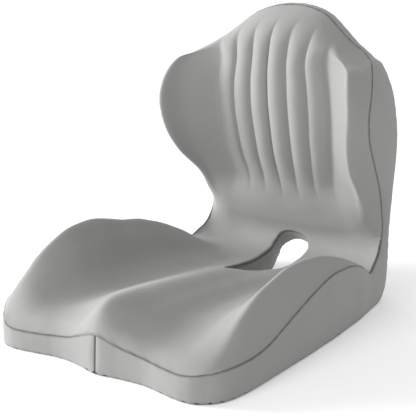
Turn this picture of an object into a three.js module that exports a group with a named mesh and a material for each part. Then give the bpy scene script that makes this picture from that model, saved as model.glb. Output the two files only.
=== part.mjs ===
// One-piece ergonomic cushion: contoured seat, ribbed back with side wings, tail-bone slot.
// Millimetres, +Z up, +Y to the rear, +X to the sitter's left. The base stands on z = 0.
import * as THREE from 'three';

// ---- overall sizes ----
const WIDTH = 382;          // across the seat sides
const DEPTH = 509;          // nose of the seat to the rear face
const HEIGHT = 461;         // floor to the top of the back
const PULL_STANDOUT = 3.5;  // zip pull behind the rear face

// ---- layers ----
const FABRIC = 2.4;         // top panel, knit bonded to wadding
const BASE_FABRIC = 2.2;    // underside and rear panels
const BAND_FABRIC = 2.2;    // side bands and slot lining
const SEAM = 0.6;           // gap left between neighbouring sewn panels
const RIM_CHAMFER = 2;      // band rims cut back on the inside
const EASE = 2.4;           // room between cover and foam
const FOAM_INSET = 5;       // foam edge inside the side bands
const TOP_FOAM_SHARE = 0.45; // share of the thickness that is memory foam
const RIB_DEPTH = 8;        // rib crest above the groove
const BAND_BULGE = 2;       // side bands belly outwards

// ---- zip across the lower rear ----
const ZIP_Z = 122, ZIP_HALF = 128, TAPE_W = 11, TOOTH_PITCH = 10;
const SLIDER_X = -112, PULL_LEN = 24;

// ---- sections, nose to top of the back ----
// Each row is one cross-section of the left half, laid out for a 382 x 509 x 461 cushion.
// Seven columns run from the centre line to the edge seam; d is distance back from the nose.
const COLUMNS = [0, 0.21, 0.42, 0.62, 0.79, 0.91, 1];
const BACK_COLUMNS = [0, 0.18, 0.36, 0.545, 0.78, 0.89, 1];
const spread = (half) => COLUMNS.map((c) => c * half);
const spreadBack = (half) => BACK_COLUMNS.map((c) => c * half);
const level = (d) => COLUMNS.map(() => d);
const seat = (half, d, z) => ({ x: spread(half), d, z, bx: spread(half), bd: d, bz: level(0) });
const REAR = [[0, 505], [150, 505], [190, 501], [250, 493], [310, 484], [370, 478], [430, 475], [480, 475]];
const rearAt = (z) => {
  let i = 0;
  while (i < REAR.length - 2 && z > REAR[i + 1][0]) i++;
  const [z0, d0] = REAR[i], [z1, d1] = REAR[i + 1];
  return d0 + (d1 - d0) * (z - z0) / (z1 - z0);
};
const REAR_CROWN = [4, 4, 4, 4, 4, 2, 0];
const bend = (half, bHalf, bd, bz, d, z) => ({ x: spread(half), d, z, bx: spread(bHalf),
  bd: level(bd).map((q, k) => q + (bd > 500 ? REAR_CROWN[k] : 0)), bz: level(bz) });
const back = (half, bHalf, d, z) => ({ x: spreadBack(half), d, z, bx: spreadBack(bHalf),
  bd: z.map((q, k) => rearAt(q) + REAR_CROWN[k]), bz: z });
const SECTIONS = [
  { x: [0, 36, 74, 106, 136, 157, 172], d: [3, 9, 13, 9, 6, 10, 20], z: [54, 43, 36, 34, 34, 37, 40],
    bx: [0, 36, 74, 106, 136, 157, 172], bd: [0, 7, 11, 7, 4, 8, 19], bz: level(0) },
  { x: [0, 38, 77, 112, 143, 166, 182], d: [8, 17, 27, 27, 25, 28, 34], z: [73, 57, 48, 47, 48, 47, 42],
    bx: [0, 38, 77, 112, 143, 166, 182], bd: [7, 15, 24, 24, 22, 27, 34], bz: level(0) },
  seat(188, [20, 34, 46, 49, 50, 51, 56], [88, 66, 54, 54, 61, 61, 43]),
  seat(190.5, [42, 60, 73, 79, 80, 81, 84], [96, 76, 60, 63, 78, 86, 44]),
  seat(191, [90, 100, 110, 114, 115, 116, 117], [94, 79, 64, 70, 93, 107, 49]),
  seat(191, level(152), [89, 76, 63, 72, 101, 119, 61]),
  seat(191, level(188), [85, 73, 61, 73, 108, 127, 74]),
  seat(191, level(224), [81, 70, 59, 73, 111, 129, 86]),
  seat(190, level(256), [77, 67, 57, 71, 108, 127, 94]),
  seat(189.5, level(286), [72, 64, 55, 69, 103, 122, 99]),
  seat(188, level(314), [66, 60, 53, 66, 96, 114, 98]),
  seat(186, level(342), [60, 56, 52, 61, 87, 104, 95]),
  seat(184, level(374), [54, 52, 49, 56, 76, 90, 87]),
  seat(181, [406, 406, 406, 405, 402, 400, 399], [50, 49, 49, 53, 67, 77, 75]),
  bend(176, 173, 458, 0, [438, 438, 437, 434, 429, 425, 422], [51, 51, 52, 54, 59, 62, 61]),
  bend(173, 169, 488, 12, [467, 466, 464, 461, 456, 450, 441], [57, 57, 57, 59, 62, 66, 69]),
  bend(169, 166, 502, 34, [482, 481, 480, 477, 472, 468, 464], [70, 70, 71, 73, 76, 79, 82]),
  bend(166, 165, 505, 66, [482, 482, 480, 477, 473, 473, 478], [88, 88, 90, 94, 98, 103, 105]),
  bend(165, 165, 505, 88, [468, 468, 467, 465, 462, 464, 481], [110, 110, 112, 116, 121, 126, 124]),
  bend(166, 165, 505, 112, [453, 453, 454, 454, 450, 447, 474], [142, 142, 143, 145, 147, 150, 144]),
  back(170, 170, [440, 441, 444, 449, 436, 425, 456], [180, 180, 180, 180, 180, 180, 182]),
  back(177, 175, [423, 425, 428, 434, 407, 380, 422], [220, 220, 220, 220, 221, 222, 224]),
  back(182, 178, [411, 413, 416, 423, 390, 357, 391], [261, 261, 261, 262, 263, 265, 266]),
  back(186, 176, [402, 404, 408, 415, 382, 349, 377], [302, 302, 302, 302, 302, 303, 304]),
  back(182, 171, [398, 400, 404, 411, 382, 354, 390], [339, 339, 339, 339, 338, 336, 334]),
  back(171, 161, [400, 402, 405, 412, 393, 374, 412], [380, 379, 377, 375, 370, 366, 360]),
  { x: [0, 33, 66, 96, 119, 139, 160], d: [413, 414, 416, 416, 407, 402, 430],
    z: [425, 422, 415, 401, 386, 376, 374], bx: [0, 33, 66, 95, 117, 135, 154],
    bd: [480, 480, 480, 479, 478, 477, 476], bz: [427, 424, 416, 400, 385, 376, 374] },
  { x: [0, 33, 65, 93, 115, 134, 151], d: [463, 461, 458, 453, 453, 453, 444],
    z: [459, 456, 445, 423, 404, 392, 380], bx: [0, 33, 65, 93, 114, 131, 146],
    bd: [480, 480, 479, 477, 475, 474, 474], bz: [461, 457, 445, 422, 403, 391, 380] },
];
const LAST = SECTIONS.length - 1;
// half-width of the tail-bone slot at each row it crosses
const SLOT = [[9, 0], [10, 14], [11, 22], [12, 27], [13, 30], [14, 31], [15, 31], [16, 29], [16.5, 25],
  [17, 0]];
const SLOT_FLARE = 16;      // the slot is wider at the underside
const SLOT_LIP = 4.5;       // foam stands back from the slot
const RIB_ROWS = [19, 21.5, 25.2, 26.6];
const SPLIT_ROW = 14;       // seat foam ends, back foam begins

// ---- surfaces ----
const SX = WIDTH / 382, SD = DEPTH / 509, SZ = HEIGHT / 461;
const Y0 = -(DEPTH + PULL_STANDOUT) / 2;
const cubic = (p0, p1, p2, p3, t) => p1 + 0.5 * t * (p2 - p0 + t * (2 * p0 - 5 * p1 + 4 * p2 - p3
  + t * (3 * (p1 - p2) + p3 - p0)));
const smooth = (f) => { const t = Math.min(1, Math.max(0, f)); return t * t * (3 - 2 * t); };
// value of one channel at column k along the row coordinate v
const along = (key, k, v) => {
  const i = Math.min(LAST - 1, Math.max(0, Math.floor(v)));
  const at = (r) => SECTIONS[Math.min(LAST, Math.max(0, r))][key][k];
  return cubic(at(i - 1), at(i), at(i + 1), at(i + 2), v - i);
};
const across = (key, s, v) => {
  const k = Math.min(5, Math.max(0, Math.floor(s)));
  const at = (c) => along(key, Math.min(6, Math.abs(c)), v);
  if (key === 'x' || key === 'bx') return at(k) + (at(k + 1) - at(k)) * (s - k);
  return cubic(at(k - 1), at(k), at(k + 1), at(k + 2), s - k);
};
const columnOf = (x, v) => {
  let k = 0;
  while (k < 5 && x > along('x', k + 1, v)) k++;
  const a = along('x', k, v), b = along('x', k + 1, v);
  return k + (x - a) / (b - a);
};
const ribAt = (s, v) => {
  if (s >= 3) return 0;
  const fade = smooth((v - RIB_ROWS[0]) / (RIB_ROWS[1] - RIB_ROWS[0]))
    * (1 - smooth((v - RIB_ROWS[2]) / (RIB_ROWS[3] - RIB_ROWS[2])));
  return RIB_DEPTH * fade * Math.pow(Math.sin(Math.PI * (s - Math.floor(s))), 0.75);
};
// the sitter's right side is a little fuller than the left: corner, bolster, wing and shoulder
const fuller = (x, d, z) => {
  if (x >= 0) return [x, d, z];
  const wide = smooth((-x - 40) / 120), low = z < 140 ? 1 : 0;
  const corner = wide * (1 - smooth((d - 20) / 110)) * low;
  const bolster = smooth((-x - 90) / 70) * smooth((d - 8) / 45) * (1 - smooth((d - 130) / 130)) * low;
  const brow = smooth((-x - 110) / 55) * smooth((d - 16) / 30) * (1 - smooth((d - 80) / 90))
    * smooth((z - 10) / 35) * low;
  const dip = smooth((-x - 25) / 40) * (1 - smooth((-x - 150) / 25)) * (1 - smooth((d - 12) / 14))
    * smooth((z - 5) / 20) * low;
  const wing = wide * smooth((z - 190) / 80);
  const shoulder = smooth((-x - 70) / 70) * smooth((z - 270) / 80) * (1 - smooth((z - 395) / 50));
  return [x - 13 * corner - 4 * wing, d - 10 * corner - 7 * wing * (1 - smooth((d - 410) / 60)),
    z * (1 + 0.2 * bolster) + 9 * brow - 5 * dip + 7 * shoulder];
};
const place = ([x, d, z]) => new THREE.Vector3(x * SX, Y0 + d * SD, z * SZ);
const frontPoint = (x, v, ribbed) => {
  const s = columnOf(Math.abs(x), v);
  const lift = ribbed ? ribAt(s, v) : 0;
  return place(fuller(x, across('d', s, v) - lift, across('z', s, v)));
};
const basePoint = (x, v) => {
  const s = columnOf(Math.abs(x), v), half = across('bx', s, v);
  const flare = smooth((v - 10) / 3) * (1 - smooth((v - 16.2) / 0.8));
  const wide = half + SLOT_FLARE * flare * Math.max(0, 1 - half / 90);
  return place(fuller(Math.sign(x) * wide, across('bd', s, v), Math.max(0, across('bz', s, v))));
};
// point a given distance under the front surface, or above the base when measured from it
const under = (x, v, depth, ribbed) => {
  const f = frontPoint(x, v, ribbed), g = frontPoint(x, v, false), b = basePoint(x, v);
  return f.addScaledVector(b.sub(g).normalize(), depth);
};
const above = (x, v, depth) => {
  const g = frontPoint(x, v, false), b = basePoint(x, v);
  return b.clone().addScaledVector(g.sub(b).normalize(), depth);
};
const thickness = (x, v) => frontPoint(x, v, false).distanceTo(basePoint(x, v));

// ---- solids ----
const solid = (points, faces) => {
  const g = new THREE.BufferGeometry();
  g.setAttribute('position', new THREE.Float32BufferAttribute(points.flatMap((p) => [p.x, p.y, p.z]), 3));
  g.setIndex(faces.flat());
  g.computeVertexNormals();
  return g;
};
// closed slab over a patch of cells; top and bottom give each vertex its two positions
const slab = (rows, cols, slotHalf, use, top, bottom) => {
  const ids = new Map(), upper = [], lower = [], cells = [];
  const vertex = (i, j, side) => {
    const inner = slotHalf(rows[i]), shared = j === 0 && inner === 0;
    const key = `${i},${j},${shared ? 0 : side}`;
    if (!ids.has(key)) {
      const x = side * cols(j, rows[i], inner);
      ids.set(key, upper.length);
      upper.push(top(x, rows[i])); lower.push(bottom(x, rows[i]));
    }
    return ids.get(key);
  };
  for (let i = 0; i + 1 < rows.length; i++) for (let j = 0; j < cols.count; j++) for (const side of [1, -1]) {
    if (!use(i, j)) continue;
    const q = [vertex(i, j, side), vertex(i, j + 1, side), vertex(i + 1, j + 1, side), vertex(i + 1, j, side)];
    cells.push(side > 0 ? q : [q[0], q[3], q[2], q[1]]);
  }
  const n = upper.length, faces = [], open = new Map();
  for (const q of cells) {
    const tri = [[q[0], q[1], q[2]], [q[0], q[2], q[3]]];
    for (const t of tri) { faces.push(t, [t[0] + n, t[2] + n, t[1] + n]); }
    for (let e = 0; e < 4; e++) {
      const a = q[e], b = q[(e + 1) % 4];
      if (open.has(`${b},${a}`)) open.delete(`${b},${a}`); else open.set(`${a},${b}`, [a, b]);
    }
  }
  for (const [a, b] of open.values()) faces.push([a, a + n, b + n], [a, b + n, b]);
  return solid([...upper, ...lower], faces);
};
const columnSet = (stops, edgeInset) => {
  const at = (j, v, inner) => {
    const s = stops[j], full = across('x', s, v), first = across('x', 1, v);
    const x = s < 1 ? inner + (first - inner) * s : full;
    return Math.min(x, across('x', 6, v) - edgeInset / SX);
  };
  at.count = stops.length - 1;
  return at;
};
const whole = (a, b) => Array.from({ length: b - a + 1 }, (_, i) => a + i);
const steps = (n, from, to) => Array.from({ length: n }, (_, i) => from + (to - from) * i / n);
const RIB_STOPS = [...steps(12, 0, 3), ...steps(6, 3, 6), 6];
const PLAIN_STOPS = [...steps(6, 0, 3), ...steps(6, 3, 6), 6];
const FLAT_STOPS = whole(0, 6);
const TIP_ROW = 8.8, FOAM_SLOT_END = 17.5, FRONT_ROW = 0.8, TOP_ROW = LAST - 0.75;
const ROWS = [0, FRONT_ROW, ...whole(1, 8), TIP_ROW, ...whole(9, 16), 16.5, 17, FOAM_SLOT_END,
  ...whole(18, LAST - 1), TOP_ROW, LAST];
const interpolate = (table, v) => {
  if (v <= table[0][0] || v >= table[table.length - 1][0]) return 0;
  const i = table.findIndex((r, k) => v <= table[k + 1][0]);
  const [v0, a] = table[i], [v1, b] = table[i + 1];
  return a + (b - a) * (v - v0) / (v1 - v0);
};
const slotHalf = (v) => interpolate(SLOT, v);
const FOAM_SLOT = [[TIP_ROW, 0], [9, SLOT_LIP], ...SLOT.slice(1, -1).map(([v, h]) => [v, h + SLOT_LIP]),
  [17, 22], [FOAM_SLOT_END, 0]];
const foamSlotHalf = (v) => interpolate(FOAM_SLOT, v);

const group = new THREE.Group();
const add = (name, geometry, colour, roughness, metalness = 0) => {
  const mesh = new THREE.Mesh(geometry, new THREE.MeshStandardMaterial({ color: colour, roughness, metalness }));
  mesh.name = name;
  group.add(mesh);
};
const GREY = 0x9b9b99, BAND_GREY = 0x8d8d8b, DARK = 0x6f6f6d, FOAM = 0xf1ead8, FIRM = 0xd9dde0, METAL = 0x8a8d90;
const every = () => true;

// sewn cover: one top panel over seat and back, slotted in the middle
const ribStops = columnSet(RIB_STOPS, 0), flatStops = columnSet(FLAT_STOPS, 0);
// a wide, low cushion has flatter shoulders, so the foam stands further in to clear the bands
const foamStops = columnSet(PLAIN_STOPS, FOAM_INSET * Math.max(1, SX / SZ));
add('top_panel', slab(ROWS, ribStops, slotHalf, every,
  (x, v) => under(x, v, 0, true), (x, v) => under(x, v, FABRIC, false)), GREY, 0.9);

// underside panel turning up the lower rear to the zip, and the rear panel above it
const rowAtHeight = (z) => {
  let lo = 18, hi = 20;
  for (let n = 0; n < 30; n++) { const m = (lo + hi) / 2; if (across('bz', 0, m) < z) lo = m; else hi = m; }
  return lo;
};
const zipHalfBand = TAPE_W + 2.6;
const rowFromZip = (up) => rowAtHeight(ZIP_Z + up / SZ);
const LOWER_ROW = rowFromZip(-zipHalfBand - 2), UPPER_ROW = rowFromZip(zipHalfBand);
const SEAM_LOW = rowFromZip(-SEAM / 2), SEAM_HIGH = rowFromZip(SEAM / 2);
const baseRows = [...ROWS.filter((v) => v < 18.5), LOWER_ROW, SEAM_LOW];
const besideZip = (j) => FLAT_STOPS[j] >= 4;
add('base_panel', slab(baseRows, flatStops, slotHalf, (i, j) => i < baseRows.length - 2 || besideZip(j),
  (x, v) => above(x, v, BASE_FABRIC), (x, v) => basePoint(x, v)), DARK, 0.95);
const rearRows = [SEAM_HIGH, UPPER_ROW, ...whole(20, LAST - 1), TOP_ROW, LAST];
add('back_panel', slab(rearRows, flatStops, slotHalf, (i, j) => i > 0 || besideZip(j),
  (x, v) => above(x, v, BASE_FABRIC), (x, v) => basePoint(x, v)), GREY, 0.9);

// side bands: strips between the edge seams, from the front centre seam round to the top centre
const bandRows = [...ROWS.slice(1, -1), LOWER_ROW, SEAM_LOW, SEAM_HIGH, UPPER_ROW].sort((a, b) => a - b);
const bandPath = [
  ...RIB_STOPS.filter((s) => s > 0).map((s) => [s, 0]), ...bandRows.map((v) => [6, v]),
  ...[...RIB_STOPS].reverse().filter((s) => s > 0).map((s) => [s, LAST]),
];
const bandGeometry = (side) => {
  const rims = [[0.01, 0], ...bandPath, [0.01, LAST]].map(([s, v]) => {
    const x = side * across('x', s, v);
    return { hi: under(x, v, FABRIC + SEAM, false), lo: above(x, v, BASE_FABRIC + SEAM) };
  });
  const points = [], faces = [];
  rims.forEach((r, i) => {
    const next = rims[Math.min(rims.length - 1, i + 1)], last = rims[Math.max(0, i - 1)];
    const tangent = next.hi.clone().add(next.lo).sub(last.hi).sub(last.lo).normalize();
    const out = tangent.cross(r.hi.clone().sub(r.lo)).normalize().multiplyScalar(side);
    for (const f of [0, 0.5, 1]) {
      const p = r.lo.clone().lerp(r.hi, f).addScaledVector(out, BAND_BULGE * 4 * f * (1 - f));
      const drop = r.lo.clone().sub(r.hi).normalize().multiplyScalar(2 * (f - 0.5) * RIM_CHAMFER);
      const inner = p.clone().addScaledVector(out, -BAND_FABRIC).add(drop);
      points.push(p, inner);
    }
  });
  const quad = (a, b, c, d) => faces.push(side > 0 ? [a, b, c] : [a, c, b], side > 0 ? [a, c, d] : [a, d, c]);
  for (let i = 0; i + 1 < rims.length; i++) {
    const a = i * 6, b = a + 6;
    quad(a, b, b + 2, a + 2); quad(a + 2, b + 2, b + 4, a + 4);
    quad(a + 1, a + 3, b + 3, b + 1); quad(a + 3, a + 5, b + 5, b + 3);
    quad(a, a + 1, b + 1, b); quad(a + 4, b + 4, b + 5, a + 5);
  }
  const z = (rims.length - 1) * 6;
  quad(0, 2, 3, 1); quad(2, 4, 5, 3); quad(z, z + 1, z + 3, z + 2); quad(z + 2, z + 3, z + 5, z + 4);
  return solid(points, faces);
};
add('side_band_left', bandGeometry(1), BAND_GREY, 0.9);
add('side_band_right', bandGeometry(-1), BAND_GREY, 0.9);

// lining of the slot: a sewn tube from the top panel to the underside
const liningRows = [...whole(9, 16), 16.5, 17];
const liningGeometry = () => {
  const rim = [...liningRows.map((v) => [1, v]), ...liningRows.slice(1, -1).reverse().map((v) => [-1, v])];
  const points = [], faces = [], n = rim.length;
  rim.forEach(([side, v]) => {
    const x = side * slotHalf(v);
    const outer = v === 9 ? [0, TIP_ROW + 0.1] : v === 17 ? [0, 17.12] : [x + side * BAND_FABRIC, v];
    for (const [[px, pv], cut] of [[[x, v], 0], [outer, RIM_CHAMFER]]) {
      points.push(under(px, pv, FABRIC + SEAM + cut, false), above(px, pv, BASE_FABRIC + SEAM + cut));
    }
  });
  for (let i = 0; i < n; i++) {
    const a = i * 4, b = ((i + 1) % n) * 4;
    for (const [p, q, r, s] of [[a, b, b + 1, a + 1], [a + 2, a + 3, b + 3, b + 2],
      [a, a + 2, b + 2, b], [a + 1, b + 1, b + 3, a + 3]]) faces.push([p, q, r], [p, r, s]);
  }
  return solid(points, faces);
};
add('slot_lining', liningGeometry(), DARK, 0.95);

// foam: a soft layer over a firm layer, in a seat block and a back block
const foamTop = (x, v) => under(x, v, FABRIC + EASE, false);
const foamMid = (extra) => (x, v) => under(x, v, thickness(x, v) * TOP_FOAM_SHARE + extra, false);
const foamLow = (x, v) => above(x, v, BASE_FABRIC + EASE);
const inRange = (a, b) => ROWS.filter((v) => v > a && v < b);
const seatRows = [...inRange(0.1, SPLIT_ROW), SPLIT_ROW - 0.1];
const backRows = [SPLIT_ROW + 0.1, ...inRange(SPLIT_ROW + 0.1, LAST)];
for (const [part, rows] of [['seat', seatRows], ['back', backRows]]) {
  add(`${part}_memory_foam`, slab(rows, foamStops, foamSlotHalf, every, foamTop, foamMid(-0.6)), FOAM, 0.85);
  add(`${part}_support_foam`, slab(rows, foamStops, foamSlotHalf, every, foamMid(0.6), foamLow), FIRM, 0.85);
}

// zip: two tapes, two rows of teeth, end stops, slider and pull
const rearY = Y0 + DEPTH;
const box = (x0, x1, y0, y1, z0, z1) => new THREE.BoxGeometry(x1 - x0, y1 - y0, z1 - z0)
  .translate((x0 + x1) / 2, (y0 + y1) / 2, (z0 + z1) / 2);
const zipHalf = ZIP_HALF * SX, sliderX = SLIDER_X * SX, zipZ = ZIP_Z * SZ;
const tape = (a, b) => box(-zipHalf, zipHalf, rearY - 2.2, rearY - 1, zipZ + a, zipZ + b);
add('zip_tape_upper', tape(2.6, 2.6 + TAPE_W - 0.8), DARK, 0.9);
add('zip_tape_lower', tape(-1.8 - TAPE_W, -2.6), DARK, 0.9);
const teethGeometry = (up) => {
  const outline = new THREE.Shape(), length = 2 * zipHalf - 8, count = Math.floor(length / TOOTH_PITCH);
  const start = -zipHalf + 4, root = 2.3, shoulder = 1.3, crest = -0.5;
  const offset = up > 0 ? 0.75 : 0.25;
  outline.moveTo(start, up * root);
  outline.lineTo(start, up * shoulder);
  for (let i = 0; i < count; i++) {
    const x = start + (i + offset) * TOOTH_PITCH;
    outline.lineTo(x - 1.6, up * shoulder); outline.lineTo(x - 1.6, up * crest);
    outline.lineTo(x + 1.6, up * crest); outline.lineTo(x + 1.6, up * shoulder);
  }
  outline.lineTo(start + length, up * shoulder);
  outline.lineTo(start + length, up * root);
  const g = new THREE.ExtrudeGeometry(outline, { depth: 1.6, bevelEnabled: false, curveSegments: 1 });
  return g.rotateX(Math.PI / 2).translate(0, rearY - 0.8, zipZ);
};
add('zip_teeth_upper', teethGeometry(1), METAL, 0.5, 0.3);
add('zip_teeth_lower', teethGeometry(-1), METAL, 0.5, 0.3);
const stop = (x, z0, z1) => box(x - 1.5, x + 1.5, rearY - 2.4, rearY - 0.3, zipZ + z0, zipZ + z1);
add('zip_top_stop_upper', stop(-zipHalf + 1.8, 0.3, 2.2), METAL, 0.35, 0.9);
add('zip_top_stop_lower', stop(-zipHalf + 1.8, -2.2, -0.3), METAL, 0.35, 0.9);
add('zip_bottom_stop', stop(zipHalf - 1.8, -2.2, 2.2), METAL, 0.35, 0.9);
const flat = (corners) => corners.map(([x, y]) => new THREE.Vector2(x, y));
const sliderShape = new THREE.Shape(flat([[-6, -3.6], [4, -5], [6, -3.4], [6, 3.4], [4, 5], [-6, 3.6]]));
add('zip_slider', new THREE.ExtrudeGeometry(sliderShape, { depth: 1.2, bevelEnabled: false })
  .rotateX(Math.PI / 2).translate(sliderX, rearY + 1.0, zipZ), METAL, 0.3, 0.9);
const pullShape = new THREE.Shape(flat([[-0.7, -2.4], [PULL_LEN - 3, -3.2], [PULL_LEN, -1.8],
  [PULL_LEN, 1.8], [PULL_LEN - 3, 3.2], [-0.7, 2.4]]));
pullShape.holes.push(new THREE.Path(flat([[PULL_LEN - 9, -1.4], [PULL_LEN - 3, -1.4],
  [PULL_LEN - 3, 1.4], [PULL_LEN - 9, 1.4]])));
add('zip_pull', new THREE.ExtrudeGeometry(pullShape, { depth: 1.4, bevelEnabled: false })
  .rotateX(Math.PI / 2).translate(sliderX, rearY + PULL_STANDOUT, zipZ), METAL, 0.3, 0.9);

// origin at the middle of the footprint
const bounds = new THREE.Box3().setFromObject(group);
group.position.set(-(bounds.min.x + bounds.max.x) / 2, -(bounds.min.y + bounds.max.y) / 2, 0);

export default group;
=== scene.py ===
"""One-piece ergonomic cushion: stretch-knit cover over moulded foam, with a rear zip. Metres, CAD frame."""
import math

import bmesh
import bpy
import numpy as np
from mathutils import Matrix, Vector


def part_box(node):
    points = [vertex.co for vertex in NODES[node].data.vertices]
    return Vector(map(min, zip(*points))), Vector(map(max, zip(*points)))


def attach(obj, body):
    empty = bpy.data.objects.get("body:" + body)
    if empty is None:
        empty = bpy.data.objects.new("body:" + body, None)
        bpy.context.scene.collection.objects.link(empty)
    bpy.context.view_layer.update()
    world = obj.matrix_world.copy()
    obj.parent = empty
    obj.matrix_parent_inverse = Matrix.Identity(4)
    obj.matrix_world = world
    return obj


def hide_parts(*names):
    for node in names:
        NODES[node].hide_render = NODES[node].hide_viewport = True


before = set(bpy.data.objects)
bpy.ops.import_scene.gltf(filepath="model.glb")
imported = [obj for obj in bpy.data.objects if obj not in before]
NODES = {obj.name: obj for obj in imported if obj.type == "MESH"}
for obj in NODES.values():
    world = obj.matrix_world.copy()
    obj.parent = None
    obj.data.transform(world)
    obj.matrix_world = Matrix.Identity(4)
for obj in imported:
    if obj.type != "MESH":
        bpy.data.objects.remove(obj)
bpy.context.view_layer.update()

# ---- sizes, millimetres ----
RIB_DEPTH = 10.0
ROLL = 1.7              # radius of a sewn panel edge
LIP = 5.0               # soft radius into the slot
BELLY = 1.6             # side bands belly outwards
COVER = 1.6             # thickness of the visible cloth
BASE_LIFT = 0.7         # cloth of the underside above the dots' feet
DOT_PITCH, DOT_RADIUS = 15.0, 2.1
ZIP_Z = 122.0
ZIP_HALF = 128.0
HEM = 4.6               # cloth edge above and below the zip's middle
COIL_PITCH = 1.7
MM = 0.001

DEPTH = 509.0           # nose seam to the rear face
TAPE_BEHIND = 2.2       # zip tape's inner face, in from the rear face
SEAM_HALF = 0.3         # half the gap between the panels at the zip's height
SEAM_SHADE = 1.5        # reach of the painted shade beside a seam and at the slot's lip
TOP_WAVE, REAR_WAVE, BAND_WAVE = 0.35, 0.3, 0.3   # small unevenness of the cloth
BASE_LIP = 1.5          # soft radius of the slot at the underside
LINING_BELLY, LINING_CREASE = 1.6, 0.5
DOT_EDGE, DOT_SLOT_EDGE = 9.0, 8.0                # dots keep clear of the seam and the slot
DOT_FIRST, DOT_LAST = 26.0, 432.0                 # first and last dots back from the nose
WIRE = 0.28             # radius of the coil and of the sewing thread
STITCH_OUT = 2.6        # topstitch beyond the hem
BRIDGE_WIRE = 0.62
PLATE_CORNER, PULL_CORNER, GRIP_CORNER = 1.6, 1.4, 0.9
AZIMUTH, ELEVATION, REACH = math.radians(36.8), math.radians(13.9), 1.2999

tape_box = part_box("zip_tape_upper")
middle_x = (tape_box[0].x + tape_box[1].x) / 2 / MM
rear_y = tape_box[0].y / MM + TAPE_BEHIND
nose = rear_y - DEPTH
slider_box, pull_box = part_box("zip_slider"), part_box("zip_pull")

# ---- sections: the same contours as the CAD cover ----
COLUMNS = np.array([0, 0.21, 0.42, 0.62, 0.79, 0.91, 1])
BACK_COLUMNS = np.array([0, 0.18, 0.36, 0.545, 0.78, 0.89, 1])
ONES = np.ones(7)
REAR_Z = [0, 150, 190, 250, 310, 370, 430, 480]
REAR_D = [505, 505, 501, 493, 484, 478, 475, 475]
REAR_CROWN = np.array([4, 4, 4, 4, 4, 2, 0])


def seat(half, d, z):
    d = np.array(d) * ONES
    return dict(x=COLUMNS * half, d=d, z=z, bx=COLUMNS * half, bd=d, bz=0 * ONES)


def bend(half, base_half, bd, bz, d, z):
    return dict(x=COLUMNS * half, d=d, z=z, bx=COLUMNS * base_half,
                bd=bd + REAR_CROWN * (bd > 500), bz=bz * ONES)


def back(half, base_half, d, z):
    return dict(x=BACK_COLUMNS * half, d=d, z=z, bx=BACK_COLUMNS * base_half,
                bd=np.interp(z, REAR_Z, REAR_D) + REAR_CROWN, bz=z)


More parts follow.
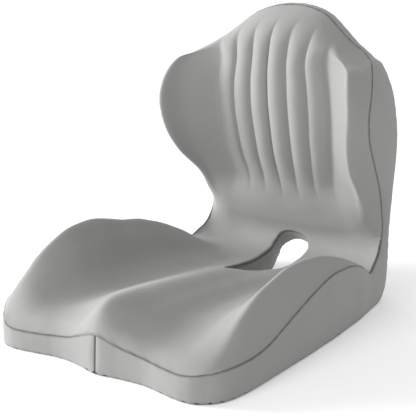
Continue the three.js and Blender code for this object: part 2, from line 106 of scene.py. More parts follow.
SECTIONS = [
    dict(x=[0, 36, 74, 106, 136, 157, 172], d=[3, 9, 13, 9, 6, 10, 20], z=[54, 43, 36, 34, 34, 37, 40],
         bx=[0, 36, 74, 106, 136, 157, 172], bd=[0, 7, 11, 7, 4, 8, 19], bz=0 * ONES),
    dict(x=[0, 38, 77, 112, 143, 166, 182], d=[8, 17, 27, 27, 25, 28, 34], z=[73, 57, 48, 47, 48, 47, 42],
         bx=[0, 38, 77, 112, 143, 166, 182], bd=[7, 15, 24, 24, 22, 27, 34], bz=0 * ONES),
    seat(188, [20, 34, 46, 49, 50, 51, 56], [88, 66, 54, 54, 61, 61, 43]),
    seat(190.5, [42, 60, 73, 79, 80, 81, 84], [96, 76, 60, 63, 78, 86, 44]),
    seat(191, [90, 100, 110, 114, 115, 116, 117], [94, 79, 64, 70, 93, 107, 49]),
    seat(191, 152, [89, 76, 63, 72, 101, 119, 61]),
    seat(191, 188, [85, 73, 61, 73, 108, 127, 74]),
    seat(191, 224, [81, 70, 59, 73, 111, 129, 86]),
    seat(190, 256, [77, 67, 57, 71, 108, 127, 94]),
    seat(189.5, 286, [72, 64, 55, 69, 103, 122, 99]),
    seat(188, 314, [66, 60, 53, 66, 96, 114, 98]),
    seat(186, 342, [60, 56, 52, 61, 87, 104, 95]),
    seat(184, 374, [54, 52, 49, 56, 76, 90, 87]),
    seat(181, [406, 406, 406, 405, 402, 400, 399], [50, 49, 49, 53, 67, 77, 75]),
    bend(176, 173, 458, 0, [438, 438, 437, 434, 429, 425, 422], [51, 51, 52, 54, 59, 62, 61]),
    bend(173, 169, 488, 12, [467, 466, 464, 461, 456, 450, 441], [57, 57, 57, 59, 62, 66, 69]),
    bend(169, 166, 502, 34, [482, 481, 480, 477, 472, 468, 464], [70, 70, 71, 73, 76, 79, 82]),
    bend(166, 165, 505, 66, [482, 482, 480, 477, 473, 473, 478], [88, 88, 90, 94, 98, 103, 105]),
    bend(165, 165, 505, 88, [468, 468, 467, 465, 462, 464, 481], [110, 110, 112, 116, 121, 126, 124]),
    bend(166, 165, 505, 112, [453, 453, 454, 454, 450, 447, 474], [142, 142, 143, 145, 147, 150, 144]),
    back(170, 170, [440, 441, 444, 449, 436, 425, 456], [180, 180, 180, 180, 180, 180, 182]),
    back(177, 175, [423, 425, 428, 434, 407, 380, 422], [220, 220, 220, 220, 221, 222, 224]),
    back(182, 178, [411, 413, 416, 423, 390, 357, 391], [261, 261, 261, 262, 263, 265, 266]),
    back(186, 176, [402, 404, 408, 415, 382, 349, 377], [302, 302, 302, 302, 302, 303, 304]),
    back(182, 171, [398, 400, 404, 411, 382, 354, 390], [339, 339, 339, 339, 338, 336, 334]),
    back(171, 161, [400, 402, 405, 412, 393, 374, 412], [380, 379, 377, 375, 370, 366, 360]),
    dict(x=[0, 33, 66, 96, 119, 139, 160], d=[413, 414, 416, 416, 407, 402, 430],
         z=[425, 422, 415, 401, 386, 376, 374], bx=[0, 33, 66, 95, 117, 135, 154],
         bd=[480, 480, 480, 479, 478, 477, 476], bz=[427, 424, 416, 400, 385, 376, 374]),
    dict(x=[0, 33, 65, 93, 115, 134, 151], d=[463, 461, 458, 453, 453, 453, 444],
         z=[459, 456, 445, 423, 404, 392, 380], bx=[0, 33, 65, 93, 114, 131, 146],
         bd=[480, 480, 479, 477, 475, 474, 474], bz=[461, 457, 445, 422, 403, 391, 380]),
]
LAST = len(SECTIONS) - 1
TABLE = {key: np.array([row[key] for row in SECTIONS], float) for key in ("x", "d", "z", "bx", "bd", "bz")}
SLOT_HALF = np.array([0, 0, 14, 22, 27, 30, 31, 31, 29, 0, 0], float)   # at rows 8 to 18
SLOT_FLARE = 16.0       # the slot widens towards the underside
RIB_START, RIB_FULL, RIB_FADE, RIB_END = 19, 21.5, 25.2, 26.6
RIB_ROUNDNESS = 0.62    # lower is fuller


def cubic(p0, p1, p2, p3, t):
    return p1 + 0.5 * t * (p2 - p0 + t * (2 * p0 - 5 * p1 + 4 * p2 - p3 + t * (3 * (p1 - p2) + p3 - p0)))


def smooth(f):
    t = np.clip(f, 0, 1)
    return t * t * (3 - 2 * t)


def channel(key, s, v):
    """A section channel at column s and row v, smooth both ways."""
    table = TABLE[key]
    s, v = np.broadcast_arrays(np.asarray(s, float), np.asarray(v, float))
    i = np.clip(np.floor(v).astype(int), 0, LAST - 1)
    k = np.clip(np.floor(s).astype(int), 0, 5)
    odd = key in ("x", "bx")

    def column(c):
        r = [table[np.clip(i + n, 0, LAST), np.clip(np.abs(c), 0, 6)] for n in (-1, 0, 1, 2)]
        value = cubic(*r, v - i)
        if odd:
            value = np.where(c < 0, -value, value)
            step = cubic(*[table[np.clip(i + n, 0, LAST), 5] for n in (-1, 0, 1, 2)], v - i)
            value = np.where(c > 6, 2 * value - step, value)
        return value

    return cubic(column(k - 1), column(k), column(k + 1), column(k + 2), s - k)


def slot_half(v):
    v = np.asarray(v, float)
    i = np.clip(np.floor(v).astype(int), 8, 17) - 8
    at = [SLOT_HALF[np.clip(i + n, 0, 10)] for n in (-1, 0, 1, 2)]
    half = cubic(*at, np.clip(v, 8, 18) - 8 - i)
    round_end = SLOT_HALF[8] * np.sqrt(np.clip(1 - (v - 16) ** 2, 0, 1))
    half = np.where(v > 16, round_end, half)
    return np.where((v <= 9) | (v >= 17), 0, np.maximum(half, 0))


def inner(s, v):
    """Column moved out of the slot's way."""
    first = channel("x", 1.0, v)
    return np.where(s < 1, (slot_half(v) + (first - slot_half(v)) * s) / first, s)


def rib(s, v):
    rise = smooth((v - RIB_START) / (RIB_FULL - RIB_START))
    fade = rise * (1 - smooth((v - RIB_FADE) / (RIB_END - RIB_FADE)))
    return np.where(s < 3, RIB_DEPTH * fade * np.abs(np.sin(math.pi * s)) ** RIB_ROUNDNESS, 0)


def fuller(x, d, z):
    """The sitter's right side stands a little fuller than the left, as the foam does."""
    right = x < 0
    wide = smooth((-x - 40) / 120)
    corner = wide * (1 - smooth((d - 20) / 110)) * (z < 140)
    bolster = smooth((-x - 90) / 70) * smooth((d - 8) / 45) * (1 - smooth((d - 130) / 130)) * (z < 200)
    brow = (smooth((-x - 110) / 55) * smooth((d - 16) / 30) * (1 - smooth((d - 80) / 90))
            * smooth((z - 10) / 35))
    dip = (smooth((-x - 25) / 40) * (1 - smooth((-x - 150) / 25)) * (1 - smooth((d - 12) / 14))
           * smooth((z - 5) / 20))
    wing = wide * smooth((z - 190) / 80)
    shoulder = smooth((-x - 70) / 70) * smooth((z - 270) / 80) * (1 - smooth((z - 395) / 50))
    x = x - right * (13 * corner + 4 * wing)
    d = d - right * (10 * corner + 7 * wing * (1 - smooth((d - 410) / 60)))
    z = z * (1 + right * 0.2 * bolster) + right * (7 * shoulder + 9 * brow * (z < 200) - 5 * dip * (z < 100))
    return x, d, z


def front(s, v, ribbed=True, side=1):
    lift = rib(s, v) if ribbed else 0
    x, d, z = fuller(side * channel("x", s, v), channel("d", s, v) - lift, channel("z", s, v))
    return np.stack([middle_x + x, nose + d, z], -1)


def base(s, v, side=1):
    bx = channel("bx", s, v)
    flare = smooth((v - 10) / 3.0) * (1 - smooth((v - 16.2) / 0.8))
    bx = bx + SLOT_FLARE * flare * np.clip(1 - bx / 90, 0, 1)
    x, d, z = fuller(side * bx, channel("bd", s, v), channel("bz", s, v))
    return np.stack([middle_x + x, nose + d, np.maximum(z, BASE_LIFT)], -1)


def unit(a):
    return a / np.maximum(np.linalg.norm(a, axis=-1, keepdims=True), 1e-9)


def rolled(distance, radius):
    """How far a sewn edge has turned in, at a distance from its seam."""
    d = np.clip(distance, 0, radius)
    return radius - np.sqrt(np.maximum(radius ** 2 - (radius - d) ** 2, 0))


def ripple(p, scale):
    """Small even unevenness of a cloth skin, fixed for each place."""
    x, y, z = p[..., 0] / scale, p[..., 1] / scale, p[..., 2] / scale
    return (np.sin(x * 1.3 + 2.1 * np.sin(y * 0.9 + 0.4)) * np.sin(y * 1.1 + 1.7 * np.sin(z * 0.8))
            + 0.5 * np.sin(z * 2.1 + 1.3 * np.sin(x * 1.7 + 1.0)) * np.sin(y * 2.3 + x))


# ---- mesh helpers ----
class Sheet:
    """Collects a closed cloth sheet: outer and inner skins over the same cells."""

    def __init__(self):
        self.out, self.inn, self.seam, self.uv, self.cells = [], [], [], [], []

    def add(self, out, inn, seam, uv):
        start = len(self.out)
        self.out.extend(out.reshape(-1, 3))
        self.inn.extend(inn.reshape(-1, 3))
        self.seam.extend(seam.reshape(-1))
        self.uv.extend(uv.reshape(-1, 2))
        return start

    def build(self, name):
        n = len(self.out)
        faces, edges = [], {}
        for q in self.cells:
            faces.append(q)
            faces.append([i + n for i in reversed(q)])
            for a, b in zip(q, q[1:] + q[:1]):
                if (b, a) in edges:
                    del edges[(b, a)]
                else:
                    edges[(a, b)] = 1
        faces += [[b, a, a + n, b + n] for a, b in edges]
        points = np.array(self.out + self.inn) * MM
        uvs = np.array(self.uv + self.uv) * MM
        return mesh_object(name, points, faces, np.array(self.seam + self.seam), uvs)


def mesh_object(name, points, faces, seam=None, uvs=None):
    mesh = bpy.data.meshes.new(name)
    mesh.from_pydata([tuple(p) for p in points], [], [tuple(f) for f in faces])
    mesh.validate()
    if seam is not None:
        # The seam attribute weights painted shade: the knit is darkened beside seams and at the slot's lip.
        mesh.attributes.new("seam", "FLOAT", "POINT").data.foreach_set("value", seam.astype(np.float32))
    if uvs is not None:
        layer = mesh.uv_layers.new(name="cloth")
        index = np.zeros(len(mesh.loops), np.int32)
        mesh.loops.foreach_get("vertex_index", index)
        layer.data.foreach_set("uv", uvs[index].astype(np.float32).ravel())
    mesh.polygons.foreach_set("use_smooth", [True] * len(mesh.polygons))
    mesh.update()
    obj = bpy.data.objects.new(name, mesh)
    bpy.context.scene.collection.objects.link(obj)
    return obj


def grid_normals(p):
    """Normals of a grid of points, rows first, pointing by the right-hand rule of column then row."""
    return unit(np.cross(np.gradient(p, axis=1), np.gradient(p, axis=0)))


def run_lengths(p, axis):
    """Distance along a grid line from its first point."""
    step = np.linalg.norm(np.diff(p, axis=axis), axis=-1)
    zero = np.zeros_like(np.take(step, [0], axis=axis))
    return np.concatenate([zero, np.cumsum(step, axis=axis)], axis=axis)


def panel(name, s_stops, v_stops, surface, toward, use, edges, flip=False, lip=0.0, wave=0.0):
    """One sewn panel over both halves. edges lists the sides that end in a seam: s1, v0, v1."""
    sheet = Sheet()
    s_grid, v_grid = np.meshgrid(s_stops, v_stops)
    si = inner(s_grid, v_grid)
    for side in (1, -1):
        half_panel(sheet, side, si, v_grid, v_stops, surface, toward, use, edges, flip, lip, wave)
    return sheet.build(name)


def half_panel(sheet, side, si, v_grid, v_stops, surface, toward, use, edges, flip, lip, wave):
    p = surface(si, v_grid, side)
    inward = unit(toward(si, v_grid, side) - p)
    normal = grid_normals(p) * (-side if flip else side)
    across, along = run_lengths(p, 1), run_lengths(p, 0)
    gap = np.full(p.shape[:2], 1e3)
    if "s1" in edges:
        gap = np.minimum(gap, across[:, -1:] - across)
    if "v0" in edges:
        gap = np.minimum(gap, along)
    if "v1" in edges:
        gap = np.minimum(gap, along[-1:] - along)
    slot_gap = np.where(slot_half(v_grid) > 0, across, 1e3)
    puckers = wave * np.exp(-gap / 9.0) * np.sin(along / 3.1 + 2 * np.sin(along / 23.0) + across / 3.7)
    lift = puckers + wave * 0.7 * ripple(p, 17.0) * smooth(gap / 12.0)
    p_out = p + normal * (lift - rolled(gap, ROLL))[..., None]
    if lip:
        p_out = p_out + inward * (rolled(slot_gap, lip) * 0.9)[..., None]
    p_in = p_out + inward * COVER
    # Painted shade: weight of the darkening beside the panel's seams and, with a lip, at the slot's edge.
    seam = np.exp(-(np.minimum(gap, slot_gap if lip else 1e3) / SEAM_SHADE) ** 2)
    start = sheet.add(p_out, p_in, seam, np.stack([across * side, along], -1))
    rows, cols = p.shape[:2]
    ids = start + np.arange(rows * cols).reshape(rows, cols)
    if side < 0:
        closed = slot_half(np.asarray(v_stops)) == 0
        ids[closed, 0] = np.arange(rows * cols).reshape(rows, cols)[closed, 0]
    for i in range(rows - 1):
        for j in range(cols - 1):
            if use(i, j):
                q = [int(ids[i, j]), int(ids[i, j + 1]), int(ids[i + 1, j + 1]), int(ids[i + 1, j])]
                sheet.cells.append(q if (side > 0) != flip else q[::-1])


def drop_loose(obj):
    bm = bmesh.new()
    bm.from_mesh(obj.data)
    bmesh.ops.delete(bm, geom=[v for v in bm.verts if not v.link_faces], context="VERTS")
    bmesh.ops.recalc_face_normals(bm, faces=bm.faces)
    bm.to_mesh(obj.data)
    bm.free()
    return obj


def edge_dense(stops, spans=(0.012, 0.03, 0.055, 0.09, 0.14), at=()):
    """Extra stops close to each seam, so that the rolled edge is round."""
    extra = [a + sign * d for a, sign in at for d in spans]
    return np.unique(np.round(np.concatenate([stops, extra]), 5))


# ---- cover panels ----
s_top = edge_dense(np.concatenate([np.linspace(0, 3, 37), np.linspace(3.125, 6, 24)]),
                   at=((0, 1), (6, -1)))
v_top = edge_dense(np.linspace(0, LAST, LAST * 6 + 1), at=((0, 1), (LAST, -1), (9, 1), (17, -1)))
top = panel("cover_top", s_top, v_top, lambda s, v, side: front(s, v, True, side), base,
            lambda i, j: True, {"s1", "v0", "v1"}, lip=LIP, wave=TOP_WAVE)


def row_at(height):
    lo, hi = 18.0, 20.0
    for _ in range(40):
        mid = (lo + hi) / 2
        if float(channel("bz", 0.0, mid)) < height:
            lo = mid
        else:
            hi = mid
    return lo


def beside_zip(s_stops):
    x = channel("bx", s_stops, np.full_like(s_stops, 18.4))
    return lambda j: x[j] >= ZIP_HALF


s_base = edge_dense(np.linspace(0, 6, 31), at=((0, 1), (6, -1)))
s_base = np.unique(np.append(s_base, 6 * 0.654))
zip_side = beside_zip(s_base)
v_hem, v_seam = row_at(ZIP_Z - HEM), row_at(ZIP_Z - SEAM_HALF)
v_base = edge_dense(np.append(np.linspace(0, 18, 91), [v_hem, v_hem - 0.03, v_seam]),
                    at=((0, 1), (9, 1), (17, -1)))
v_base = v_base[v_base <= v_seam]
hem_row = int(np.argmin(np.abs(v_base - v_hem)))
under = panel("cover_base", s_base, v_base, base, lambda s, v, side: front(s, v, False, side),
              lambda i, j: i < hem_row or zip_side(j), {"s1", "v0"}, flip=True, lip=BASE_LIP)

v_back0, v_back_hem = row_at(ZIP_Z + SEAM_HALF), row_at(ZIP_Z + HEM)
hem_stops = [v_back0, v_back_hem, v_back_hem + 0.03, (v_back_hem + 19) / 2]
v_rear = edge_dense(np.append(np.linspace(19, LAST, 65), hem_stops), at=((LAST, -1),))
v_rear = v_rear[v_rear >= v_back0]
hem_rear = int(np.argmin(np.abs(v_rear - v_back_hem)))
rear = panel("cover_back", s_base, v_rear, base, lambda s, v, side: front(s, v, False, side),
             lambda i, j: i >= hem_rear or zip_side(j), {"s1", "v1"}, flip=True, wave=REAR_WAVE)


def band(name, side):
    """A side band: a strip from the front centre seam round to the top centre."""
    s_run = np.concatenate([np.linspace(0, 3, 25)[1:], np.linspace(3, 6, 25)[1:]])
    s_run = edge_dense(s_run, at=((0, 1),))
    s_run = s_run[s_run > 0.011]
    v_run = np.linspace(0, LAST, LAST * 6 + 1)[1:-1]
    path = [(0.004, 0)] + [(s, 0) for s in s_run] + [(6, v) for v in v_run]
    path += [(s, LAST) for s in s_run[::-1]] + [(0.004, LAST)]
    s, v = np.array(path).T
    hi, lo = front(s, v, False, side), base(s, v, side)
    for _ in range(2):
        for p in (hi, lo):
            p[1:-1] = (p[:-2] + 2 * p[1:-1] + p[2:]) / 4
    span = hi - lo
    length = np.linalg.norm(span, axis=-1)
    tangent = np.gradient((hi + lo) / 2, axis=0)
    outward = unit(np.cross(tangent, span)) * side
    end = run_lengths(((hi + lo) / 2)[None], 1)[0]
    end = np.minimum(end, end[-1] - end)
    near = np.array([0, 0.35, 0.8, 1.4, 2.2, 4])
    sheet = Sheet()
    out, inn, seams, uvs = [], [], [], []
    profile = [("lo", n) for n in near] + [("mid", m) for m in np.linspace(0, 1, 11)]
    profile += [("hi", n) for n in near[::-1]]
    along = run_lengths(lo[None], 1)[0]
    for kind, value in profile:
        if kind == "lo":
            f = value / length
        elif kind == "hi":
            f = 1 - value / length
        else:
            f = 5.0 / length + (1 - 10.0 / length) * value
        gap = np.minimum(np.minimum(f, 1 - f) * length, end)
        p = lo + span * f[:, None]
        belly = BELLY * 4 * f * (1 - f) * smooth(end / 10)
        puckers = np.exp(-gap / 8.0) * np.sin(along / 2.9 + 1.7 * np.sin(p[:, 1] / 19.0))
        wave = BAND_WAVE * (puckers + ripple(p, 19.0) * smooth(gap / 12))
        q = p + outward * (belly + wave - rolled(gap, ROLL))[:, None]
        out.append(q)
        inn.append(q - outward * COVER)
        # Painted shade beside the band's seams.
        seams.append(np.exp(-(gap / SEAM_SHADE) ** 2))
        uvs.append(np.stack([along, f * length], -1))
    out, inn = np.array(out), np.array(inn)
    sheet.add(out, inn, np.array(seams), np.array(uvs))
    rows, cols = out.shape[:2]
    for i in range(rows - 1):
        for j in range(cols - 1):
            q = [i * cols + j, i * cols + j + 1, (i + 1) * cols + j + 1, (i + 1) * cols + j]
            sheet.cells.append(q if side > 0 else q[::-1])
    return sheet.build(name)


band_left, band_right = band("cover_band_left", 1), band("cover_band_right", -1)


def lining():
    """The slot's sewn tube: a closed loop round the slot, turned in under the lip."""
    v = np.concatenate([np.linspace(9, 10, 9), np.linspace(10, 16, 31)[1:], np.linspace(16, 17, 11)[1:]])
    x = slot_half(v)
    first = channel("x", 1.0, v)
    rim = list(zip(v, x / first))
    loop = [(1, a, b) for a, b in rim] + [(-1, a, b) for a, b in rim[-2:0:-1]]
    side, v, s = np.array(loop).T
    hi, lo = front(s, v, False, side), base(s, v, side)
    span = lo - hi
    length = np.linalg.norm(span, axis=-1)
    middle = (hi + lo) / 2
    tangent = np.roll(middle, -1, 0) - np.roll(middle, 1, 0)
    outward = unit(np.cross(tangent, span))
    if outward[len(outward) // 5, 0] < 0:
        outward = -outward
    sheet = Sheet()
    run = run_lengths(middle[None], 1)[0]
    out, inn, seams, uvs = [], [], [], []
    for f in np.linspace(0, 1, 19):
        start, stop = LIP * 0.9 + 0.3, 1.6
        depth = start + (length - start - stop) * f
        middle_share = math.sin(math.pi * f)
        crease = LINING_CREASE * np.sin(run / 4.3 + 2.0 * np.sin(f * 3)) * middle_share
        p = hi + unit(span) * depth[:, None] - outward * (LINING_BELLY * middle_share + crease)[:, None]
        out.append(p)
        inn.append(p + outward * COVER)
        near = np.minimum(depth - start, length - stop - depth)
        # Painted shade where the lining meets the lip and the underside.
        seams.append(np.exp(-(near / SEAM_SHADE) ** 2))
        uvs.append(np.stack([run, depth], -1))
    sheet.add(np.array(out), np.array(inn), np.array(seams), np.array(uvs))
    rows, cols = len(out), len(run)
    for i in range(rows - 1):
        for j in range(cols):
            k = (j + 1) % cols
            sheet.cells.append([i * cols + j, (i + 1) * cols + j, (i + 1) * cols + k, i * cols + k])
    return sheet.build("slot_lining_cloth")


slot_tube = lining()


# ---- rubber dots of the underside ----
def dots():
    """Small round grips in staggered rows, clear of the slot and the edge seam."""
    points, faces = [], []
    turn = np.linspace(0, 2 * math.pi, 9)[:-1]
    v_rows = np.linspace(0, 14, 200)
    y_rows = nose + channel("bd", 0.0, v_rows)
    half_rows = channel("bx", 6.0, v_rows)
    edge_rows = nose + channel("bd", 6.0, v_rows)
    row = 0
    y = nose + DOT_FIRST
    while y < nose + DOT_LAST:
        half = float(np.interp(y, edge_rows, half_rows)) - DOT_EDGE
        hole = float(np.interp(y, y_rows, slot_half(v_rows)))
        x = -200 + (DOT_PITCH / 2) * (row % 2)
        while x < 200:
            if abs(x) < half and abs(x) > (hole + DOT_SLOT_EDGE if hole else -1):
                start = len(points)
                for radius, z in ((1.0, BASE_LIFT + 0.4), (0.95, 0.3), (0.62, 0.0)):
                    for a in turn:
                        points.append((middle_x + x + DOT_RADIUS * radius * math.cos(a),
                                       y + DOT_RADIUS * radius * math.sin(a), z))
                n = len(turn)
                for ring in (0, 1):
                    for i in range(n):
                        j = (i + 1) % n
                        a = start + ring * n
                        faces.append((a + j, a + i, a + n + i, a + n + j))
                faces.append(tuple(start + 2 * n + i for i in reversed(range(n))))
                faces.append(tuple(start + i for i in range(n)))
            x += DOT_PITCH
        y += DOT_PITCH * 0.866
        row += 1
    return mesh_object("base_grip_dots", np.array(points) * MM, faces)


grip = dots()


# ---- zip ----
def tube(points, radius, sides):
    """A round wire along points, with capped ends."""
    p = np.asarray(points, float)
    t = unit(np.gradient(p, axis=0))
    side = unit(np.cross(t, np.tile([0.13, 0.2, 0.97], (len(p), 1))))
    up = np.cross(side, t)
    verts, faces = [], []
    for i in range(len(p)):
        for a in range(sides):
            w = 2 * math.pi * a / sides
            verts.append(p[i] + radius * (math.cos(w) * side[i] + math.sin(w) * up[i]))
    for i in range(len(p) - 1):
        j = i + 1
        for a in range(sides):
            b = (a + 1) % sides
            faces.append((i * sides + a, i * sides + b, j * sides + b, j * sides + a))
    faces.append(tuple(reversed(range(sides))))
    faces.append(tuple((len(p) - 1) * sides + a for a in range(sides)))
    return verts, faces


def joined(name, parts):
    points, faces = [], []
    for verts, polygons in parts:
        n = len(points)
        points.extend(verts)
        faces.extend(tuple(i + n for i in f) for f in polygons)
    return mesh_object(name, np.array(points) * MM, faces)


def coil(name, up):
    """One row of a nylon coil: flattened turns along the tape's edge."""
    reach = ZIP_HALF - 4.6
    turns = int(2 * reach / COIL_PITCH)
    t = np.arange(turns * 8 + 1) / 8
    w = 2 * math.pi * t
    x = middle_x - reach + t * COIL_PITCH + (COIL_PITCH / 2 if up > 0 else 0)
    z = ZIP_Z + up * (0.95 - 1.15 * np.cos(w))
    y = rear_y - 1.55 + 0.55 * np.sin(w)
    return joined(name, [tube(np.stack([x, y, z], -1), WIRE, 5)])


coil_upper, coil_lower = coil("zip_coil_upper", 1), coil("zip_coil_lower", -1)


def tape(name, up):
    rows = np.linspace(0, 1, 9)
    xs = np.linspace(-ZIP_HALF, ZIP_HALF, 129)
    x, f = np.meshgrid(xs + middle_x, rows)
    z = ZIP_Z + up * (1.9 + f * 10.0)
    y = rear_y - 2.05 - 1.0 * smooth((f - 0.1) / 0.3) + 0.08 * np.sin(x / 2.3)
    out = np.stack([x, y, z], -1)
    sheet = Sheet()
    sheet.add(out, out - np.array([0, 0.6, 0]), 0 * x, np.stack([x, z], -1))
    cols = len(xs)
    for i in range(len(rows) - 1):
        for j in range(cols - 1):
            q = [i * cols + j, (i + 1) * cols + j, (i + 1) * cols + j + 1, i * cols + j + 1]
            sheet.cells.append(q if up > 0 else q[::-1])
    return sheet.build(name)


tape_upper, tape_lower = tape("zip_tape_cloth_upper", 1), tape("zip_tape_cloth_lower", -1)


def stitches(name, line, pitch=3.2, length=2.3):
    """Lockstitch thread: short raised dashes along a line of points."""
    run = run_lengths(np.asarray(line, float)[None], 1)[0]
    parts, s = [], 0.4
    while s + length < run[-1]:
        t = s + length * np.array([0, 0.15, 0.5, 0.85, 1])
        rise = np.array([-0.35, 0.1, 0.22, 0.1, -0.35])
        p = np.stack([np.interp(t, run, line[:, k]) for k in range(3)], -1)
        p[:, 1] += rise
        parts.append(tube(p, WIRE, 5))
        s += pitch
    return joined(name, parts)


def rear_line(z):
    """Points along the rear at one height, a little longer than the zip."""
    xs = np.linspace(-ZIP_HALF - 2, ZIP_HALF + 2, 90)
    v = row_at(z)
    s = np.interp(np.abs(xs), channel("bx", s_base, np.full_like(s_base, v)), s_base)
    p = base(s, np.full_like(s, v), np.sign(xs))
    return p + np.array([0, 0.2, 0])


top_thread = stitches("zip_topstitch_upper", rear_line(ZIP_Z + HEM + STITCH_OUT))
low_thread = stitches("zip_topstitch_lower", rear_line(ZIP_Z - HEM - STITCH_OUT))


def plate(name, outline, y0, y1, holes=(), bevel=0.35):
    """A flat cast piece in the zip's plane, with softened edges."""
    curve = bpy.data.curves.new(name, "CURVE")
    curve.dimensions = "2D"
    curve.fill_mode = "BOTH"
    curve.extrude = (y1 - y0) / 2 * MM - bevel * MM
    curve.bevel_depth = bevel * MM
    curve.bevel_resolution = 2
    for ring in (outline, *holes):
        spline = curve.splines.new("POLY")
        spline.points.add(len(ring) - 1)
        for point, (x, z) in zip(spline.points, ring):
            point.co = (x * MM, z * MM, 0, 1)
        spline.use_cyclic_u = True
    holder = bpy.data.objects.new(name, curve)
    bpy.context.scene.collection.objects.link(holder)
    mesh = bpy.data.meshes.new_from_object(holder.evaluated_get(bpy.context.evaluated_depsgraph_get()))
    bpy.data.objects.remove(holder)
    mesh.name = name
    co = np.zeros(len(mesh.vertices) * 3)
    mesh.vertices.foreach_get("co", co)
    co = co.reshape(-1, 3)
    flat = np.stack([co[:, 0], (y0 + y1) / 2 * MM - co[:, 2], co[:, 1]], -1)
    mesh.vertices.foreach_set("co", flat.ravel())
    mesh.materials.clear()
    mesh.update()
    obj = bpy.data.objects.new(name, mesh)
    bpy.context.scene.collection.objects.link(obj)
    return obj


def rounded(corners, radius, steps=4):
    """A closed outline with round corners."""
    ring, n = [], len(corners)
    for i in range(n):
        a, b, c = (np.array(corners[k % n], float) for k in (i - 1, i, i + 1))
        to_a, to_c = unit(a - b), unit(c - b)
        r = min(radius, np.linalg.norm(a - b) / 2.1, np.linalg.norm(c - b) / 2.1)
        p0, p2 = b + to_a * r, b + to_c * r
        for t in np.linspace(0, 1, steps + 1):
            ring.append((1 - t) ** 2 * p0 + 2 * t * (1 - t) * b + t * t * p2)
    return ring


sx = (slider_box[0].x + slider_box[1].x) / 2 / MM
body_shape = [(sx - 6, ZIP_Z - 3.6), (sx + 4, ZIP_Z - 5), (sx + 6, ZIP_Z - 3.4),
              (sx + 6, ZIP_Z + 3.4), (sx + 4, ZIP_Z + 5), (sx - 6, ZIP_Z + 3.6)]
slider = plate("zip_slider_plate", rounded(body_shape, PLATE_CORNER),
               slider_box[0].y / MM, slider_box[1].y / MM)
arch = np.linspace(0, math.pi, 13)
bridge_points = np.stack([sx - 3.2 * np.cos(arch) + 0.4, slider_box[1].y / MM - 0.3 + 3.1 * np.sin(arch),
                          np.full_like(arch, ZIP_Z)], -1)
bridge = joined("zip_slider_bridge", [tube(bridge_points, BRIDGE_WIRE, 8)])
pull_end = pull_box[1].x / MM
pull_start = pull_box[0].x / MM
pull_shape = [(pull_start, ZIP_Z - 2.3), (pull_end - 3, ZIP_Z - 3.2), (pull_end, ZIP_Z - 1.9),
              (pull_end, ZIP_Z + 1.9), (pull_end - 3, ZIP_Z + 3.2), (pull_start, ZIP_Z + 2.3)]
grip_hole = [(pull_end - 9, ZIP_Z - 1.4), (pull_end - 9, ZIP_Z + 1.4),
             (pull_end - 3, ZIP_Z + 1.4), (pull_end - 3, ZIP_Z - 1.4)]
pull = plate("zip_pull_tab", rounded(pull_shape, PULL_CORNER),
             pull_box[0].y / MM, pull_box[1].y / MM, holes=[rounded(grip_hole, GRIP_CORNER)])


# ---- materials ----
def new_material(name, colour, roughness, sheen=0.0, metallic=0.0):
    material = bpy.data.materials.new(name)
    material.use_nodes = True
    tree = material.node_tree
    shader = tree.nodes["Principled BSDF"]
    shader.inputs["Base Color"].default_value = (*colour, 1)
    shader.inputs["Roughness"].default_value = roughness
    shader.inputs["Metallic"].default_value = metallic
    shader.inputs["Sheen Weight"].default_value = sheen
    shader.inputs["Sheen Roughness"].default_value = 0.5
    return material, tree, shader


def node(tree, kind, **settings):
    made = tree.nodes.new(kind)
    for key, value in settings.items():
        if key in made.inputs:
            made.inputs[key].default_value = value
        else:
            setattr(made, key, value)
    return made


def mixed(tree, a, b, factor, mode="MIX"):
    mix = tree.nodes.new("ShaderNodeMix")
    mix.data_type = "RGBA"
    mix.blend_type = mode
    for socket, value in (("A_Color", a), ("B_Color", b), ("Factor_Float", factor)):
        target = next(s for s in mix.inputs if s.identifier == socket)
        if isinstance(value, bpy.types.NodeSocket):
            tree.links.new(value, target)
        else:
            target.default_value = value
    return next(s for s in mix.outputs if s.identifier == "Result_Color")


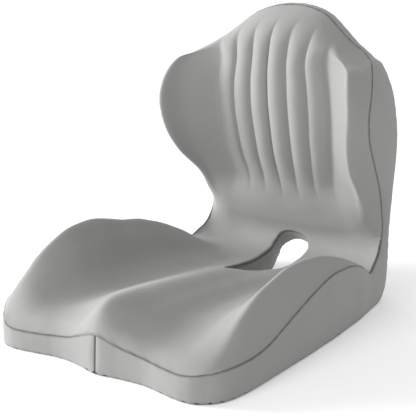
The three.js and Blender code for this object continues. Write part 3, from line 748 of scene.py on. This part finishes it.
def knit(name, colour, stitch=1.5, depth=0.35, sheen=0.25, contrast=0.16):
    """Fine stretch knit: columns of small V stitches, a slight melange, and painted shade (the seam
    attribute) darkening the cloth beside seams and at the slot's lip.
    """
    material, tree, shader = new_material(name, colour, 0.93, sheen)
    link = tree.links.new
    uv = node(tree, "ShaderNodeUVMap", uv_map="cloth")
    turned = node(tree, "ShaderNodeMapping")
    link(uv.outputs["UV"], turned.inputs["Vector"])
    turned.inputs["Scale"].default_value = (1000 / stitch, 1000 / stitch, 1)
    wales = node(tree, "ShaderNodeTexWave", wave_type="BANDS", bands_direction="X", Scale=0.318,
                 Distortion=0.6)
    courses = node(tree, "ShaderNodeTexWave", wave_type="BANDS", bands_direction="DIAGONAL", Scale=0.45,
                   Distortion=1.2)
    for wave in (wales, courses):
        link(turned.outputs["Vector"], wave.inputs["Vector"])
    height = mixed(tree, wales.outputs["Color"], courses.outputs["Color"], 0.45)
    place = node(tree, "ShaderNodeTexCoord")
    fuzz = node(tree, "ShaderNodeTexNoise", Scale=900.0, Detail=2.0)
    cloud = node(tree, "ShaderNodeTexNoise", Scale=28.0, Detail=3.0)
    for noise in (fuzz, cloud):
        link(place.outputs["Object"], noise.inputs["Vector"])
    height = mixed(tree, height, fuzz.outputs["Color"], 0.35)
    bump = node(tree, "ShaderNodeBump", Strength=depth, Distance=0.0006)
    link(height, bump.inputs["Height"])
    link(bump.outputs["Normal"], shader.inputs["Normal"])
    dark = tuple(c * (1 - contrast) for c in colour) + (1,)
    light = tuple(min(1, c * (1 + contrast * 0.6)) for c in colour) + (1,)
    tone = mixed(tree, dark, light, height)
    patchy = mixed(tree, tone, (*[c * 0.94 for c in colour], 1), cloud.outputs["Fac"])
    # Painted shade: the seam attribute darkens the knit to 0.30 of its colour beside seams and at the slot's
    # lip.
    seam = node(tree, "ShaderNodeAttribute", attribute_name="seam")
    shade = mixed(tree, patchy, (*[c * 0.30 for c in colour], 1), seam.outputs["Fac"])
    link(shade, shader.inputs["Base Color"])
    rough = node(tree, "ShaderNodeMapRange")
    rough.inputs["To Min"].default_value = 0.86
    rough.inputs["To Max"].default_value = 0.98
    link(fuzz.outputs["Fac"], rough.inputs["Value"])
    link(rough.outputs["Result"], shader.inputs["Roughness"])
    return material


def grained(name, colour, roughness, scale, depth, metallic=0.0, contrast=0.15):
    """Foam, rubber, nylon and lacquer: a noise grain in colour, roughness and bump."""
    material, tree, shader = new_material(name, colour, roughness, metallic=metallic)
    place = node(tree, "ShaderNodeTexCoord")
    noise = node(tree, "ShaderNodeTexNoise", Scale=scale, Detail=4.0)
    tree.links.new(place.outputs["Object"], noise.inputs["Vector"])
    dark = (*[c * (1 - contrast) for c in colour], 1)
    light = (*[min(1, c * (1 + contrast)) for c in colour], 1)
    tone = mixed(tree, dark, light, noise.outputs["Fac"])
    tree.links.new(tone, shader.inputs["Base Color"])
    bump = node(tree, "ShaderNodeBump", Strength=depth, Distance=0.0005)
    tree.links.new(noise.outputs["Fac"], bump.inputs["Height"])
    tree.links.new(bump.outputs["Normal"], shader.inputs["Normal"])
    rough = node(tree, "ShaderNodeMapRange")
    rough.inputs["To Min"].default_value = max(0.05, roughness - 0.08)
    rough.inputs["To Max"].default_value = min(1, roughness + 0.08)
    tree.links.new(noise.outputs["Fac"], rough.inputs["Value"])
    tree.links.new(rough.outputs["Result"], shader.inputs["Roughness"])
    return material


GREY = (0.325, 0.325, 0.318)
knit_top = knit("knit_cover", GREY)
knit_band = knit("knit_band", tuple(c * 0.97 for c in GREY))
# Painted shade: the slot's lining is the cover's grey knit darkened to 0.75, for the shade inside the slot.
lining_knit_painted_shade = knit("lining_knit_painted_shade", tuple(c * 0.75 for c in GREY), contrast=0.2)
knit_base = knit("woven_base", (0.10, 0.10, 0.098), stitch=1.1, depth=0.5, sheen=0.1, contrast=0.25)
tape_cloth = knit("zip_tape_weave", (0.13, 0.13, 0.128), stitch=0.8, depth=0.5, sheen=0.1, contrast=0.25)
rubber = grained("grip_rubber", (0.035, 0.035, 0.035), 0.6, 700, 0.2)
nylon = grained("zip_nylon", (0.12, 0.12, 0.118), 0.4, 900, 0.1)
thread_stuff = grained("sewing_thread", (0.25, 0.25, 0.245), 0.8, 2500, 0.5)
lacquer = grained("zip_lacquer", (0.16, 0.16, 0.165), 0.32, 300, 0.05, metallic=0.85, contrast=0.08)
soft_foam = grained("foam_soft", (0.84, 0.78, 0.62), 0.95, 1200, 0.8, contrast=0.12)
firm_foam = grained("foam_firm", (0.62, 0.67, 0.70), 0.95, 900, 0.8, contrast=0.12)


def dress(obj, material):
    obj.data.materials.clear()
    obj.data.materials.append(material)


PIECES = [
    (top, knit_top, "cushion", "cover_knit", ["top_panel"]),
    (under, knit_base, "cushion", "base_fabric", ["base_panel"]),
    (rear, knit_top, "cushion", "cover_knit_rear", ["back_panel"]),
    (band_left, knit_band, "cushion", "band_knit", ["side_band_left"]),
    (band_right, knit_band, "cushion", "band_knit", ["side_band_right"]),
    (slot_tube, lining_knit_painted_shade, "cushion", "lining_fabric", ["slot_lining"]),
    (grip, rubber, "cushion", "base_fabric", []),
    (tape_upper, tape_cloth, "cushion", "zip_tape", ["zip_tape_upper"]),
    (tape_lower, tape_cloth, "cushion", "zip_tape", ["zip_tape_lower"]),
    (coil_upper, nylon, "cushion", "zip_teeth", ["zip_teeth_upper"]),
    (coil_lower, nylon, "cushion", "zip_teeth", ["zip_teeth_lower"]),
    (top_thread, thread_stuff, "cushion", "cover_knit_rear", []),
    (low_thread, thread_stuff, "cushion", "base_fabric", []),
    (slider, lacquer, "slider", "zip_metal", ["zip_slider"]),
    (bridge, lacquer, "slider", "zip_metal", []),
    (pull, lacquer, "pull", "zip_metal", ["zip_pull"]),
]
for obj, material, body, slot, stands_for in PIECES:
    drop_loose(obj)
    dress(obj, material)
    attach(obj, body)
    if stands_for:
        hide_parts(*stands_for)
for name in ("seat_memory_foam", "back_memory_foam"):
    dress(NODES[name], soft_foam)
for name in ("seat_support_foam", "back_support_foam"):
    dress(NODES[name], firm_foam)
for name in ("zip_top_stop_upper", "zip_top_stop_lower", "zip_bottom_stop"):
    dress(NODES[name], lacquer)


# ---- studio ----
def backdrop():
    """Pale floor that curves up far behind the object."""
    ys = [-30.0, 2.2] + [2.2 + 1.0 * math.sin(a) for a in np.linspace(0.15, math.pi / 2, 10)] + [3.2]
    zs = [0, 0] + [1.0 - 1.0 * math.cos(a) for a in np.linspace(0.15, math.pi / 2, 10)] + [5.0]
    points, faces = [], []
    for x in (-30, 30):
        for y, z in zip(ys, zs):
            points.append((x * math.cos(AZIMUTH) - y * math.sin(AZIMUTH),
                           x * math.sin(AZIMUTH) + y * math.cos(AZIMUTH), z))
    n = len(ys)
    for i in range(n - 1):
        faces.append((i, n + i, n + i + 1, i + 1))
    floor = mesh_object("studio_floor", np.array(points), faces)
    material, tree, shader = new_material("studio_paper", (0.93, 0.93, 0.93), 0.9)
    shader.inputs["Emission Color"].default_value = (1, 1, 1, 1)
    shader.inputs["Emission Strength"].default_value = 0.24
    noise = node(tree, "ShaderNodeTexNoise", Scale=400.0)
    bump = node(tree, "ShaderNodeBump", Strength=0.02, Distance=0.0002)
    tree.links.new(noise.outputs["Fac"], bump.inputs["Height"])
    tree.links.new(bump.outputs["Normal"], shader.inputs["Normal"])
    dress(floor, material)
    return floor


backdrop()


def area_light(name, place, aim, size, power):
    light = bpy.data.lights.new(name, "AREA")
    light.shape = "RECTANGLE"
    light.size, light.size_y = size
    light.energy = power
    obj = bpy.data.objects.new(name, light)
    bpy.context.scene.collection.objects.link(obj)
    obj.location = place
    obj.rotation_euler = (Vector(aim) - Vector(place)).to_track_quat("-Z", "Y").to_euler()


area_light("key", (-2.35, -1.1, 0.95), (0, 0.05, 0.2), (1.0, 1.0), 80)
area_light("front", (-0.3, -2.5, 1.3), (0, 0.1, 0.25), (1.0, 1.0), 24)
area_light("overhead", (0.1, 0.2, 2.6), (0, 0, 0.1), (2.0, 2.0), 8)

world = bpy.data.worlds.new("studio")
bpy.context.scene.world = world
world.use_nodes = True
world.node_tree.nodes["Background"].inputs["Color"].default_value = (1, 1, 1, 1)
world.node_tree.nodes["Background"].inputs["Strength"].default_value = 0.45
bpy.context.scene.view_settings.view_transform = "Standard"

# ---- camera ----
target = Vector((0.0061 + middle_x * MM, 0.2363 + nose * MM, 0.17575))
camera = bpy.data.objects.new("camera", bpy.data.cameras.new("camera"))
bpy.context.scene.collection.objects.link(camera)
camera.data.sensor_width = 36
camera.data.lens = 77.9
camera.location = target + REACH * Vector((math.sin(AZIMUTH) * math.cos(ELEVATION),
                                           -math.cos(AZIMUTH) * math.cos(ELEVATION), math.sin(ELEVATION)))
camera.rotation_euler = (target - camera.location).to_track_quat("-Z", "Y").to_euler()
bpy.context.scene.camera = camera
